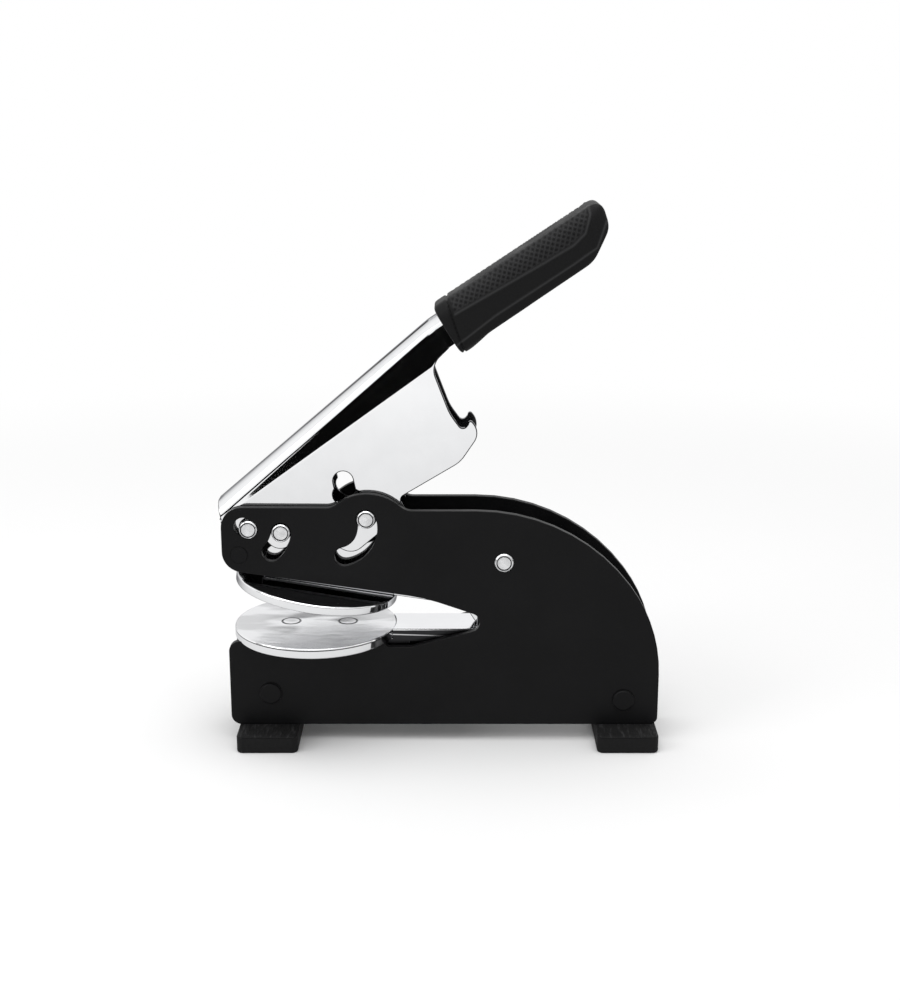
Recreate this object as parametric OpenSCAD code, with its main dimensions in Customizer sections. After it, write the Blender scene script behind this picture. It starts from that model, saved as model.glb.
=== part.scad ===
// Desk seal embosser: two slotted side plates on rubber feet, a pair of die plates
// that close like a jaw, and a sheet-steel lever whose wedge pin presses them shut.
// Millimetres. X runs from the dies to the back, Y across, Z up; the origin is on the
// desk under the middle of the whole machine, with the lever up.

/* [Frame] */
// Clear width between the two side plates
frame_gap = 19; // [18.8:0.1:20]
// Thickness of a side plate
plate_t = 3; // [2.5:0.5:4]
// Height of the plates' bottom edge above the desk
plate_base_z = 6.8; // [6:0.2:7]
// How far a rivet head stands proud of a plate
rivet_head_h = 1.2; // [0.6:0.2:2]

/* [Dies] */
// Diameter of a round die plate
die_d = 62.4; // [58:0.2:63]
// Thickness of the lower die plate
lower_die_t = 4; // [3:0.2:4]
// Thickness of the upper die plate
upper_die_t = 3.5; // [3:0.1:4]
// Height of the lower die plate's top face
lower_die_z = 44.8; // [44.6:0.1:45]
// Gap left for the two dies when the jaws are closed
closed_gap = 3.5; // [3:0.1:4]
// Angle by which the upper jaw stands open
jaw_open = 8.8; // [6:0.1:8.8]

/* [Lever] */
// Angle of the lever's spine above the horizontal, lever up
lever_rest = 40.6; // [40:0.1:41]
// Travel of the lever, in degrees
lever_travel = 36; // [30:1:36]
// Outer width of the lever channel
lever_w = 18; // [17:0.1:18]
// Thickness of the lever's sheet steel
lever_t = 2; // [1.5:0.1:2]
// Degrees the wedge pin goes round its slot for each degree of the lever
wedge_ratio = 2.6; // [2.5:0.05:2.6]
// Length of the rubber grip
grip_len = 72; // [66:1:76]
// Width of the rubber grip
grip_w = 24; // [22:0.5:26]

/* [Pins] */
// Diameter of the pivot, stop and wedge pins
pin_d = 7; // [6.6:0.1:7]
// Side clearance of a pin in its slot
slot_play = 0.2; // [0.15:0.05:0.3]
// How far a pin's end stands proud of a plate
pin_proud = 0.7; // [0.4:0.1:1]
// Diameter of the latch pin between the plates
latch_shank_d = 5.6; // [4.6:0.2:5.6]
// Diameter of the jaw's hinge pin
hinge_d = 4; // [3.5:0.5:4]

/* [Feet] */
// Length of a foot along the frame
foot_len = 23.4; // [20:0.2:26]
// Width of a foot across the frame
foot_w = 49; // [44:1:54]

/* [Hidden] */
$fn = 72;

outer_y = frame_gap / 2 + plate_t;
die_r = die_d / 2;
pin_r = pin_d / 2;
slot_r = pin_r + slot_play;
running_play = 0.05;

// Places of the pins and rivets on the side plates, [x, z]
pivot = [-72, 85.3];
pivot_slack = [-73.8, 86.4];
stop_r = 12.27;
stop_rest = -6.1;
wedge_centre = [-38.6, 85.7];
wedge_r = 11.3;
wedge_rest = 18;
latch = [24, 72.3];
upper_rivet = [-75.7, 75.5];
front_rivet = [-65.4, 19.8];
rear_rivet = [70.4, 16.9];
hinge = [19, 50];

// The jaws, drawn closed
die_x = -48.4;
upper_die_z = lower_die_z + closed_gap;
arm_z = upper_die_z + upper_die_t;
jaw_ratio = jaw_open / lever_travel;

// The lever's own axes: s along the spine from the pivot, n square to it
spine_n = 14.8;
lever_tail_s = 101;
tail_bend = 6.8;
tang_len = 60;
spine_bend_r = 5;

BLACK = [0.09, 0.09, 0.09];
RUBBER = [0.13, 0.13, 0.13];
STEEL = [0.8, 0.81, 0.83];
CHROME = [0.9, 0.9, 0.92];

// ---- Small geometry helpers ----

function unit(v) = v / norm(v);
function polar(r, a) = r * [cos(a), sin(a)];
function turned(p, a) = [p.x * cos(a) - p.y * sin(a), p.x * sin(a) + p.y * cos(a)];
function turned_about(p, c, a) = c + turned(p - c, a);
function short_turn(a) = a > 180 ? a - 360 : a < -180 ? a + 360 : a;

// Points of one rounded corner q between its neighbours p and s
function corner(p, q, s, r) =
    let (u = unit(p - q), v = unit(s - q), half = acos(u * v) / 2,
         c = q + unit(u + v) * r / sin(half), t = r / tan(half),
         from = q + u * t - c, to = q + v * t - c,
         a0 = atan2(from.y, from.x), sweep = short_turn(atan2(to.y, to.x) - a0),
         steps = max(2, ceil(abs(sweep) / 6)))
    [for (i = [0 : steps]) c + polar(r, a0 + sweep * i / steps)];

// Outline through corners given as [x, y, radius]
function rounded(pts) =
    let (n = len(pts))
    [for (i = [0 : n - 1])
        let (p = pts[(i + n - 1) % n], q = pts[i], s = pts[(i + 1) % n])
        for (k = corner([p.x, p.y], [q.x, q.y], [s.x, s.y], q[2])) k];

// Outline of a band of half width h along a path, with round ends. Where the path
// bends tighter than h, side points that fall inside the band are left out.
function band(path, h) =
    let (n = len(path),
         dir = [for (i = [0 : n - 1]) unit(path[min(i + 1, n - 1)] - path[max(i - 1, 0)])],
         a0 = atan2(dir[0].y, dir[0].x), a1 = atan2(dir[n - 1].y, dir[n - 1].x),
         right = [for (i = [0 : n - 1]) path[i] + h * [dir[i].y, -dir[i].x]],
         left = [for (i = [n - 1 : -1 : 0]) path[i] - h * [dir[i].y, -dir[i].x]])
    concat(outside(right, path, h), [for (a = [-75 : 15 : 75]) path[n - 1] + polar(h, a1 + a)],
           outside(left, path, h), [for (a = [-75 : 15 : 75]) path[0] + polar(h, a0 + 180 + a)]);
function outside(pts, path, h) =
    [for (p = pts) if (min([for (q = path) norm(p - q)]) > h - 0.02) p];

// Stands a flat [x, z] drawing up in the XZ plane, from y0 to y1
module upright(y0, y1) {
    translate([0, y1, 0]) rotate([90, 0, 0]) linear_extrude(y1 - y0) children();
}

// A cylinder across the frame at [x, z], from y0 to y1
module across(at, r, y0, y1) {
    translate([at.x, y1, at.y]) rotate([90, 0, 0]) cylinder(r = r, h = y1 - y0);
}

// Turns its children about a line across the frame; positive lifts the +X side
module tilt_about(at, a) {
    translate([at.x, 0, at.y]) rotate([0, -a, 0]) translate([-at.x, 0, -at.y]) children();
}

// A pin across the frame with chamfered, slightly dished ends
module dished_pin(at, r, half_len) {
    rim = 0.6;
    dish = 0.25;
    translate([at.x, 0, at.y]) rotate([90, 0, 0]) rotate_extrude()
        polygon([[0, -half_len + dish], [r - 2 * rim, -half_len + dish], [r - rim, -half_len],
                 [r, -half_len + rim], [r, half_len - rim], [r - rim, half_len],
                 [r - 2 * rim, half_len - dish], [0, half_len - dish]]);
}

// ---- Motion: where the wedge pin is when the lever has turned by t ----

function wedge_at(t) = wedge_centre + polar(wedge_r, wedge_rest - wedge_ratio * t);
function in_lever(t) = turned(wedge_at(t) - pivot, -(lever_rest - t));
function in_arm(t) = turned_about(wedge_at(t), hinge, jaw_open - jaw_ratio * t);
travel_steps = [0 : 1 / 16 : 1];
lever_slot = [for (k = travel_steps) in_lever(k * lever_travel)];
arm_slot = [for (k = travel_steps) in_arm(k * lever_travel)];

// ---- Side plates ----

plate_back = 83.9;
jaw_top = lower_die_z - lower_die_t;
plate_corners = [
    // lower jaw, bottom edge and rounded back
    [-80.9, jaw_top, 4], [-80.9, plate_base_z, 4], [plate_back, plate_base_z, 3],
    [plate_back, 47, 59.5], [49.9, 92.5, 72.5],
    // bump over the wedge pin, and the front end
    [-12.5, 92.5, 6], [-27.4, 103.6, 18.2], [-40.7, 93.7, 6], [-82.2, 93.9, 8],
    [-82.2, 69.6, 8],
    // throat
    [-6, 58.35, 60], [24, 47.9, 3.75], [-11, 38.6, 6], [-20, 38.6, 1], [-22, jaw_top, 1]];

module plate_blank() {
    upright(-outer_y, -frame_gap / 2) polygon(rounded(plate_corners));
}

module plate_slots() {
    y0 = -outer_y - 1;
    y1 = -frame_gap / 2 + 1;
    // Short slot for the pivot pin, with the play that the storage latch uses
    across(pivot, pin_r + running_play, y0, y1);
    across(pivot_slack, pin_r + running_play, y0, y1);
    play = pivot_slack - pivot;
    translate([pivot.x, y1, pivot.y]) rotate([90, 0, 0]) rotate([0, 0, atan2(play.y, play.x)])
        translate([0, -pin_r - running_play, 0])
        cube([norm(play), 2 * (pin_r + running_play), y1 - y0]);
    // Arc slot for the stop pin, about the pivot
    upright(y0, y1) arc_slot(pivot, stop_r, stop_rest - lever_travel - 4, stop_rest + 1);
    // Curved slot for the wedge pin
    upright(y0, y1) arc_slot(wedge_centre, wedge_r,
                             wedge_rest - wedge_ratio * lever_travel - 2, wedge_rest + 1);
}

module arc_slot(centre, r, a0, a1) {
    steps = ceil((a1 - a0) / 3);
    polygon(band([for (i = [0 : steps]) centre + polar(r, a0 + (a1 - a0) * i / steps)], slot_r));
}

rivet_shank_r = 3;
latch_hole_r = 3.7;
blind_depth = 1.5;

module one_side_plate() {
    color(BLACK) difference() {
        plate_blank();
        plate_slots();
        for (at = [front_rivet, rear_rivet, upper_rivet])
            across(at, rivet_shank_r, -outer_y - 1, -frame_gap / 2 + 1);
        across(latch, latch_hole_r, -outer_y - 1, -frame_gap / 2 + 1);
        // Blind hole that seats the jaw's hinge pin
        across(hinge, hinge_d / 2, -frame_gap / 2 - blind_depth, -frame_gap / 2 + 1);
    }
}

module near_side_plate() { one_side_plate(); }
module far_side_plate() { mirror([0, 1, 0]) one_side_plate(); }

// ---- Rivets, spacers and the latch pin ----

module domed_rivet(at, head_r) {
    color(BLACK) {
        across(at, rivet_shank_r, -outer_y, outer_y);
        for (side = [-1, 1])
            translate([at.x, side * outer_y, at.y]) rotate([-90 * side, 0, 0])
                rotate_extrude() polygon(concat([[0, 0], [head_r, 0]],
                    [for (a = [0 : 10 : 90])
                        [head_r - rivet_head_h * 0.6 + rivet_head_h * 0.6 * cos(a),
                         rivet_head_h * (0.4 + 0.6 * sin(a))]],
                    [[0, rivet_head_h]]));
    }
}

lower_head_r = 4.2;
upper_head_r = 3.2;
spacer_r = 5;
upper_spacer_r = 3.5;

module front_lower_rivet() { domed_rivet(front_rivet, lower_head_r); }
module rear_lower_rivet() { domed_rivet(rear_rivet, lower_head_r); }
// The upper one is riveted over almost flush
module front_upper_rivet() {
    color(BLACK) {
        across(upper_rivet, rivet_shank_r, -outer_y, outer_y);
        for (side = [-1, 1])
            translate([upper_rivet.x, side * outer_y, upper_rivet.y]) rotate([-90 * side, 0, 0])
                cylinder(r = upper_head_r, h = 0.3);
    }
}

module spacer(at, r) {
    color(STEEL) difference() {
        across(at, r, -frame_gap / 2, frame_gap / 2);
        across(at, rivet_shank_r, -outer_y, outer_y);
    }
}

module front_lower_spacer() { spacer(front_rivet, spacer_r); }
module rear_lower_spacer() { spacer(rear_rivet, spacer_r); }
module front_upper_spacer() { spacer(upper_rivet, upper_spacer_r); }

// Slim between the plates so the lever's hook passes it, with a full head each side
module latch_pin() {
    head_half = outer_y + pin_proud;
    color(STEEL) difference() {
        dished_pin(latch, latch_hole_r, head_half);
        difference() {
            across(latch, latch_hole_r + 1, -frame_gap / 2, frame_gap / 2);
            across(latch, latch_shank_d / 2, -outer_y, outer_y);
        }
    }
}

// ---- Feet ----

module foot(x, rivet) {
    foot_h = plate_base_z;
    rise_r = 8;
    color(RUBBER) difference() {
        union() {
            translate([x, 0, 0]) linear_extrude(foot_h)
                polygon(rounded([[-foot_len / 2, -foot_w / 2, 2.5], [foot_len / 2, -foot_w / 2, 2.5],
                                 [foot_len / 2, foot_w / 2, 2.5], [-foot_len / 2, foot_w / 2, 2.5]]));
            // Upstand between the plates, held by the rivet's spacer
            translate([rivet.x - rise_r, -frame_gap / 2, foot_h - 1])
                cube([2 * rise_r, frame_gap, rivet.y - foot_h + 1]);
            across(rivet, rise_r, -frame_gap / 2, frame_gap / 2);
        }
        across(rivet, spacer_r, -foot_w, foot_w);
    }
}

front_foot_x = -66.1;
rear_foot_x = 71.5;
module front_foot() { foot(front_foot_x, front_rivet); }
module rear_foot() { foot(rear_foot_x, rear_rivet); }

// ---- Lower die plate, its tongue and the jaw's hinge ----

rivet_xs = [-58, -36];
die_rivet_r = 3.7;
die_chamfer = 0.4;
strap_t = 2;
tongue_y = 9.1;
tongue_end_x = 27;
tongue_wall = 1.7;
ear_r = 5;

module die_disc(z, t) {
    translate([die_x, 0, z]) rotate_extrude($fn = 180)
        polygon([[0, 0], [die_r - die_chamfer, 0], [die_r, die_chamfer], [die_r, t - die_chamfer],
                 [die_r - die_chamfer, t], [0, t]]);
}

module rivet_holes(z0, z1) {
    for (x = rivet_xs) translate([x, 0, z0]) cylinder(r = die_rivet_r, h = z1 - z0);
}

module lower_die_plate() {
    color(CHROME) difference() {
        die_disc(lower_die_z - lower_die_t, lower_die_t);
        rivet_holes(lower_die_z - 0.8, lower_die_z + 1);
        for (x = rivet_xs) translate([x, 0, 0]) cylinder(r = 2, h = lower_die_z);
    }
}

module lower_die_rivets() {
    groove = 0.25;
    color(STEEL) for (x = rivet_xs) translate([x, 0, 0]) {
        translate([0, 0, lower_die_z - 0.8]) cylinder(r = die_rivet_r - groove, h = 0.8);
        translate([0, 0, lower_die_z - lower_die_t - strap_t])
            cylinder(r = 2, h = lower_die_t + strap_t - 0.8);
    }
}

module lower_tongue() {
    under_z = lower_die_z - lower_die_t;
    strap_x0 = -70;
    step_x = -20;
    hollow_x = -14;
    color(CHROME) difference() {
        union() {
            // Strap under the die plate
            translate([strap_x0, -tongue_y, under_z - strap_t])
                cube([step_x + 8 - strap_x0, 2 * tongue_y, strap_t]);
            // Channel behind it, level with the die plate's face
            translate([step_x, -tongue_y, under_z - 1.2])
                cube([tongue_end_x - step_x, 2 * tongue_y, lower_die_t + 1.2]);
            // Ears that carry the hinge pin
            for (y = [-tongue_y, tongue_y - strap_t]) {
                across(hinge, ear_r, y, y + strap_t);
                translate([hinge.x - ear_r, y, lower_die_z - 1])
                    cube([2 * ear_r, strap_t, hinge.y - lower_die_z + 1]);
            }
        }
        // Hollow of the channel
        translate([hollow_x, -tongue_y + tongue_wall, under_z - 3])
            cube([tongue_end_x + 1 - hollow_x, 2 * (tongue_y - tongue_wall), lower_die_t + 3 - strap_t]);
        across(hinge, hinge_d / 2, -outer_y, outer_y);
        // Room for the round edge of the die plate
        translate([die_x, 0, under_z]) cylinder(r = die_r + 0.1, h = lower_die_t + 1, $fn = 180);
        for (x = rivet_xs) translate([x, 0, 0]) cylinder(r = 2, h = lower_die_z);
    }
}

module jaw_hinge_pin() {
    half = frame_gap / 2 + blind_depth;
    color(STEEL) across(hinge, hinge_d / 2, -half, half);
}

// ---- Jaw spring: a torsion spring round the hinge pin, one leg on each jaw ----

spring_wire = 1;
spring_r = 3.2;
spring_pitch = 1.25;
upper_leg = 13.2;
lower_leg = 4.6;
leg_steps = 3;
// Where the coil leaves its upper leg, under the arm's floor, and its short lower leg,
// whose end rests on the tongue: angles round the hinge, about 4.4 turns apart
spring_from = 91.5;
spring_to = 291.8 - 5 * 360;

// Centre line about the hinge, wound clockwise: upper leg, coil, lower leg
function spring_heading(a) = [sin(a), 0, -cos(a)];
function spring_path() =
    let (steps = 72, len_y = (spring_from - spring_to) / 360 * spring_pitch,
         coil = [for (i = [0 : steps])
                    let (k = i / steps, a = spring_from + k * (spring_to - spring_from))
                    [spring_r * cos(a), (k - 0.5) * len_y, spring_r * sin(a)]])
    concat([for (i = [leg_steps : -1 : 1])
               coil[0] - spring_heading(spring_from) * upper_leg * i / leg_steps],
           coil,
           [for (i = [1 : leg_steps])
               coil[steps] + spring_heading(spring_to) * lower_leg * i / leg_steps]);

// A round wire swept along a path that never runs straight up or down the Y axis
module wire(path, r) {
    sides = 8;
    n = len(path);
    rings = [for (i = [0 : n - 1])
        let (d = unit(path[min(i + 1, n - 1)] - path[max(i - 1, 0)]),
             e = unit(cross([0, 1, 0], d)), f = cross(d, e))
        for (k = [0 : sides - 1]) path[i] + r * (cos(360 * k / sides) * e + sin(360 * k / sides) * f)];
    quads = [for (i = [0 : n - 2]) for (k = [0 : sides - 1])
        let (k2 = (k + 1) % sides)
        [i * sides + k, (i + 1) * sides + k, (i + 1) * sides + k2, i * sides + k2]];
    caps = [[for (k = [0 : sides - 1]) k], [for (k = [sides - 1 : -1 : 0]) (n - 1) * sides + k]];
    polyhedron(points = rings, faces = concat(quads, caps));
}

module jaw_spring() {
    color(STEEL) translate([hinge.x, 0, hinge.y]) wire(spring_path(), spring_wire / 2);
}

// ---- Upper arm with its die plate, drawn closed and then opened about the hinge ----

arm_y = 6.6;
arm_wall = 1.6;
arm_front_x = -69;
floor_end_x = 8;

arm_side = [
    [arm_front_x, arm_z, 1.5], [9, arm_z, 3], [14.4, 45.4, 4.5],
    [23.6, 45.4, 4.5], [23.6, 54.6, 4.5], [6, 60, 8], [-18, 66, 8], [-24.5, 82, 5], [-27.5, 88.5, 6],
    [-39.5, 88.5, 6], [-44, 70.5, 6], [-62, 65.5, 6], [arm_front_x, 65, 4]];

module arm_closed() {
    difference() {
        upright(-arm_y, arm_y) polygon(rounded(arm_side));
        // Hollow of the channel, above its floor
        translate([arm_front_x - 1, -arm_y + arm_wall, arm_z + arm_wall])
            cube([120, 2 * (arm_y - arm_wall), 60]);
        // The floor stops short of the hinge
        translate([floor_end_x, -arm_y + arm_wall, arm_z - 20])
            cube([40, 2 * (arm_y - arm_wall), 60]);
        upright(-arm_y - 1, arm_y + 1) polygon(band(arm_slot, slot_r));
        across(hinge, hinge_d / 2 + running_play, -arm_y - 1, arm_y + 1);
        for (x = rivet_xs) translate([x, 0, arm_z - 1]) cylinder(r = 2, h = arm_wall + 2);
    }
}

module upper_arm() { color(CHROME) tilt_about(hinge, -jaw_open) arm_closed(); }

module upper_die_plate() {
    color(CHROME) tilt_about(hinge, -jaw_open) difference() {
        die_disc(upper_die_z, upper_die_t);
        rivet_holes(upper_die_z - 1, upper_die_z + 0.8);
        for (x = rivet_xs) translate([x, 0, upper_die_z - 1]) cylinder(r = 2, h = upper_die_t + 2);
    }
}

module upper_die_rivets() {
    groove = 0.25;
    color(STEEL) tilt_about(hinge, -jaw_open) for (x = rivet_xs) translate([x, 0, 0]) {
        translate([0, 0, upper_die_z]) cylinder(r = die_rivet_r - groove, h = 0.8);
        translate([0, 0, upper_die_z + 0.8]) cylinder(r = 2, h = upper_die_t + arm_wall - 0.8);
        translate([0, 0, arm_z + arm_wall]) cylinder(r = 3.4, h = 1);
    }
}

// ---- Lever: drawn along its own axes, then raised about the pivot ----

cheek_corners = [
    // front end, pivot lobe and stop-pin lobe
    [-3.3, spine_n, 1], [-8.2, 6, 4], [-5.7, -6.2, 5.4], [1.2, -6.4, 1.5], [1.4, -15.2, 5.4],
    [14, -15.4, 8], [22.8, -33.6, 6], [49.1, -33.8, 2.4], [50.4, -28.2, 2],
    // long lower edge and the hook
    [76.8, -32.7, 12], [90.1, -29, 6], [90.1, -22, 0.9], [88.2, -23.5, 1.2], [85.2, -24, 1.6],
    [85.8, -16.1, 20], [92.2, 1.8, 6.5], [lever_tail_s + 0.5, 2.5, 0.2],
    [lever_tail_s + 0.5, spine_n, 0.2]];

// Cross-section of the channel's outside: flat spine with bent shoulders, width w
module shoulder_profile(w, depth, r) {
    translate([-w / 2, -depth]) square([w, depth - r]);
    translate([-w / 2 + r, -depth]) square([w - 2 * r, depth]);
    for (x = [-w / 2 + r, w / 2 - r]) translate([x, -r]) circle(r);
}

// The profile pushed along s from s0 to s1, its top at height n
module along_spine(s0, s1, n) {
    translate([s0, 0, n]) rotate([90, 0, 90]) linear_extrude(s1 - s0) children();
}

module lever_body() {
    intersection() {
        upright(-lever_w / 2, lever_w / 2) polygon(rounded(cheek_corners));
        along_spine(-20, 110, spine_n) shoulder_profile(lever_w, 60, spine_bend_r);
    }
}

// The tang that the grip is moulded on, bent down from the tail. It is a hair slimmer
// than the body and its channel a hair wider, so that no faces graze where they meet.
tang_h = 12;
tang_ease = 0.02;
channel_ease = 0.1;
module tang() {
    translate([lever_tail_s, 0, spine_n]) rotate([0, tail_bend, 0])
        along_spine(-0.1, tang_len, -tang_ease)
        shoulder_profile(lever_w - 2 * tang_ease, tang_h - tang_ease, spine_bend_r);
}
module tang_hollow() {
    translate([lever_tail_s, 0, spine_n]) rotate([0, tail_bend, 0])
        along_spine(0, tang_len + 1, channel_ease - lever_t)
        shoulder_profile(lever_w - 2 * lever_t + 2 * channel_ease, tang_h + 8,
                         spine_bend_r - lever_t + channel_ease);
}

module lever_shape() {
    difference() {
        union() {
            lever_body();
            tang();
        }
        along_spine(-21, lever_tail_s + 0.2, spine_n - lever_t)
            shoulder_profile(lever_w - 2 * lever_t, 70, spine_bend_r - lever_t);
        tang_hollow();
        across([0, 0], pin_r, -20, 20);
        across(turned(polar(stop_r, stop_rest), -lever_rest), pin_r, -20, 20);
        upright(-20, 20) polygon(band(lever_slot, slot_r));
        // The slot runs on past the wedge pin's travel
        upright(-20, 20) polygon(band([[35.7, -15.2], [38.8, -9.6]], slot_r));
    }
}

module raised() {
    translate([pivot.x, 0, pivot.y]) rotate([0, -lever_rest, 0]) children();
}

module lever() { color(CHROME) raised() lever_shape(); }

// ---- Rubber grip, drawn along the tang ----

grip_start = 5;
grip_top = 3.4;
grip_h = 20.4;
grip_bottom = grip_top - grip_h;

// Side outline from the tang's top corner: t along it, m square to it
grip_side = [
    [grip_start, grip_top, 1], [grip_start + grip_len - 0.2, grip_top - 0.7, 3.4],
    [grip_start + grip_len - 3, grip_top - 11, 7],
    [grip_start + grip_len - 14.5, grip_bottom + 2.1, 10], [grip_start + 12, grip_bottom + 1.6, 9],
    [grip_start + 4, grip_bottom, 2.5], [grip_start - 0.6, grip_bottom, 1.4]];

module lever_grip() {
    plan_r = 9;
    section_r = 6;
    color(RUBBER) raised() translate([lever_tail_s, 0, spine_n]) rotate([0, tail_bend, 0])
        difference() {
            intersection() {
                upright(-grip_w / 2, grip_w / 2) polygon(rounded(grip_side));
                translate([0, 0, -40]) linear_extrude(60)
                    polygon(rounded([[0, -grip_w / 2, 0.5],
                        [grip_start + grip_len + 2, -grip_w / 2, plan_r],
                        [grip_start + grip_len + 2, grip_w / 2, plan_r], [0, grip_w / 2, 0.5]]));
                along_spine(0, 100, grip_top) polygon(rounded([
                    [-grip_w / 2, 0, section_r], [grip_w / 2, 0, section_r],
                    [grip_w / 2, -grip_h, section_r], [-grip_w / 2, -grip_h, section_r]]));
            }
            // Room for the tang's sheet; the rubber fills its channel
            difference() {
                along_spine(-1, tang_len, 0) shoulder_profile(lever_w, tang_h, spine_bend_r);
                along_spine(-2, tang_len + 1, -lever_t) shoulder_profile(lever_w - 2 * lever_t,
                    tang_h, spine_bend_r - lever_t);
            }
        }
}

// ---- Pins ----

pin_half = outer_y + pin_proud;
module lever_pivot_pin() { color(STEEL) dished_pin(pivot, pin_r, pin_half); }
module lever_stop_pin() {
    color(STEEL) dished_pin(pivot + polar(stop_r, stop_rest), pin_r, pin_half);
}

// The wedge pin, grooved between the cheeks for its two retaining rings
ring_y = 4.2;
ring_t = 0.8;
ring_depth = 0.6;
module wedge_pin() {
    color(STEEL) difference() {
        dished_pin(wedge_at(0), pin_r, pin_half);
        for (y = [-ring_y, ring_y]) difference() {
            across(wedge_at(0), pin_r + 1, y - ring_t / 2, y + ring_t / 2);
            across(wedge_at(0), pin_r - ring_depth, y - ring_t, y + ring_t);
        }
    }
}

module wedge_pin_rings() {
    ring_r = pin_r + 1.2;
    color(STEEL) for (y = [-ring_y, ring_y]) difference() {
        across(wedge_at(0), ring_r, y - ring_t / 2, y + ring_t / 2);
        across(wedge_at(0), pin_r - ring_depth, y - ring_t, y + ring_t);
        // The open side that snaps over the pin
        translate([wedge_at(0).x - 1.6, y - 1, wedge_at(0).y - ring_r - 1]) cube([3.2, 2, ring_r]);
    }
}

near_side_plate();
far_side_plate();
front_lower_rivet();
rear_lower_rivet();
front_upper_rivet();
front_lower_spacer();
rear_lower_spacer();
front_upper_spacer();
latch_pin();
front_foot();
rear_foot();
lower_die_plate();
lower_tongue();
lower_die_rivets();
jaw_hinge_pin();
jaw_spring();
upper_arm();
upper_die_plate();
upper_die_rivets();
lever();
lever_grip();
lever_pivot_pin();
lever_stop_pin();
wedge_pin();
wedge_pin_rings();
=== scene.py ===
"""Desk seal embosser: the finished look of the machine, dressed over its CAD model."""

import math

import bmesh
import bpy
from bpy.props import FloatProperty, FloatVectorProperty, IntProperty, PointerProperty
from mathutils import Matrix, Vector


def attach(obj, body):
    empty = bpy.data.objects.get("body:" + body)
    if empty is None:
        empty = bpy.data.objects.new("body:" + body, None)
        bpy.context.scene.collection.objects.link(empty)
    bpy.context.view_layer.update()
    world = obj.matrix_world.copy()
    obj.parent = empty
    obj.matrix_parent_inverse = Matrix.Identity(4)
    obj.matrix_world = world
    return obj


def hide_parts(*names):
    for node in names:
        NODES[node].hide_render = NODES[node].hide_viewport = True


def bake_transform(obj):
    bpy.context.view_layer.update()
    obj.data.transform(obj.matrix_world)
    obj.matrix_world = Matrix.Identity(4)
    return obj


bl_info = {
    "name": "Desk Seal Embosser",
    "version": (1, 0, 0),
    "blender": (4, 5, 0),
    "location": "View3D > Sidebar > Embosser",
    "description": (
        "Dresses the CAD model of a desk seal embosser and lights it on a white table"
    ),
    "category": "Object",
}

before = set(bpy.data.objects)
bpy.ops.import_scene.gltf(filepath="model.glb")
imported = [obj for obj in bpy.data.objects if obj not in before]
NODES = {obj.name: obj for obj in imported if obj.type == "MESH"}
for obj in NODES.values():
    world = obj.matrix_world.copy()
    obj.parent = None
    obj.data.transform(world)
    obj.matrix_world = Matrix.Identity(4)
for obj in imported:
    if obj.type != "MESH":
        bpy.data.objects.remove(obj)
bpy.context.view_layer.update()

MM = 0.001

# Points this near are one, and faces that bend less than this are one flat face
MERGE_DISTANCE = 0.000004
FLAT_ANGLE = math.radians(0.4)

# Where a moulded mesh notes how much lighter it is painted: wear, and highlights on its
# ridges
RELIEF = "relief"

# The slot of a piece's second finish
SECOND = 1

# The lever's own axes: s along the spine from the pivot, n square to it
PIVOT = Vector((-0.072, 0.0, 0.0853))
LEVER_TILT = math.radians(40.6)
SPINE_N = 14.8 * MM
TAIL_S = 101.0 * MM
TAIL_BEND = math.radians(6.8)

# The section of the lever's solid, in millimetres
HALF_WIDTH = 9.0
CORNER = 5.0
SHEET = 2.0

# The bend that the spine gets instead, in millimetres: its radius across, its radius
# down, and how much that loses along the spine, from where and over what length
BEND_ACROSS = 7.9
BEND_DOWN = 5.6
BEND_LOSS = 1.4
BEND_LOSS_FROM = 4.0
BEND_LOSS_OVER = 87.0

# The cheeks lean in between a falling line and the bend, in millimetres: the line's
# start, its fall along the spine, its height on the tang, and how softly it starts
CHEEK_LEAN = math.radians(10.0)
LEAN_START_S = 5.3
LEAN_START_N = 8.1
LEAN_FALL = 0.077
TANG_LEAN_START = -13.6
LEAN_EASE = 0.6

# Where the spine is cut across, in millimetres, so that its bend can change along it
SPINE_CUTS = (0.0, 12.0, 25.0, 40.0, 55.0, 70.0, 82.0, 92.0, 97.0)

# What of the lever stays sharp: the seam where its tang starts, and the shortest edges
SEAM_REACH = 2.5 * MM
SHORTEST_EDGE = 0.00003

# The pins: how much of an end is made flat, as a depth and a share of the radius, and
# the rings set into it, from its edge inwards, as width, depth and finish, where the
# dark finish in the groove is painted shade
PIN_RADIUS = 3.5 * MM
PIN_END_DEPTH = 0.0009
PIN_END_SHARE = 0.86
PIN_RINGS = (
    (0.00005, 0.0, 0),
    (0.00022, -0.0003, SECOND),
    (0.00022, 0.0, SECOND),
    (0.0003, 0.00022, 0),
)

# Rounding of the edges that have no setting of their own
PIN_EDGE = 0.00015
RIVET_EDGE = 0.00025
TONGUE_EDGE = 0.00025
ARM_EDGE = 0.0003
DIE_EDGE = 0.00035

# The lower die plate: its middle, its top face, the dark line round its rim, its flush
# rivets and how far from their middle the dark gap round them lies
DIE_X = -0.0484
DIE_FACE_MM = 44.8
DIE_LINE_MM = (DIE_FACE_MM - 1.0, DIE_FACE_MM - 0.7)
DIE_RIVETS_X = (-0.058, -0.036)
DIE_GAP_MM = 3.5

# The tongue's side, in millimetres: the lower and the upper edge of its painted
# reflection band, its painted highlight line, and where both fade towards the back
BAND_FOOT = (44.25, 44.4)
BAND_TOP = (44.6, 44.7)
HIGHLIGHT_LINE_MM = 42.0
TONGUE_FADE = (-16.0, 8.0)

# The heights between which a foot's plain side turns into its scuffed top
FOOT_TOP = (0.0060, 0.0066)

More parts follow.
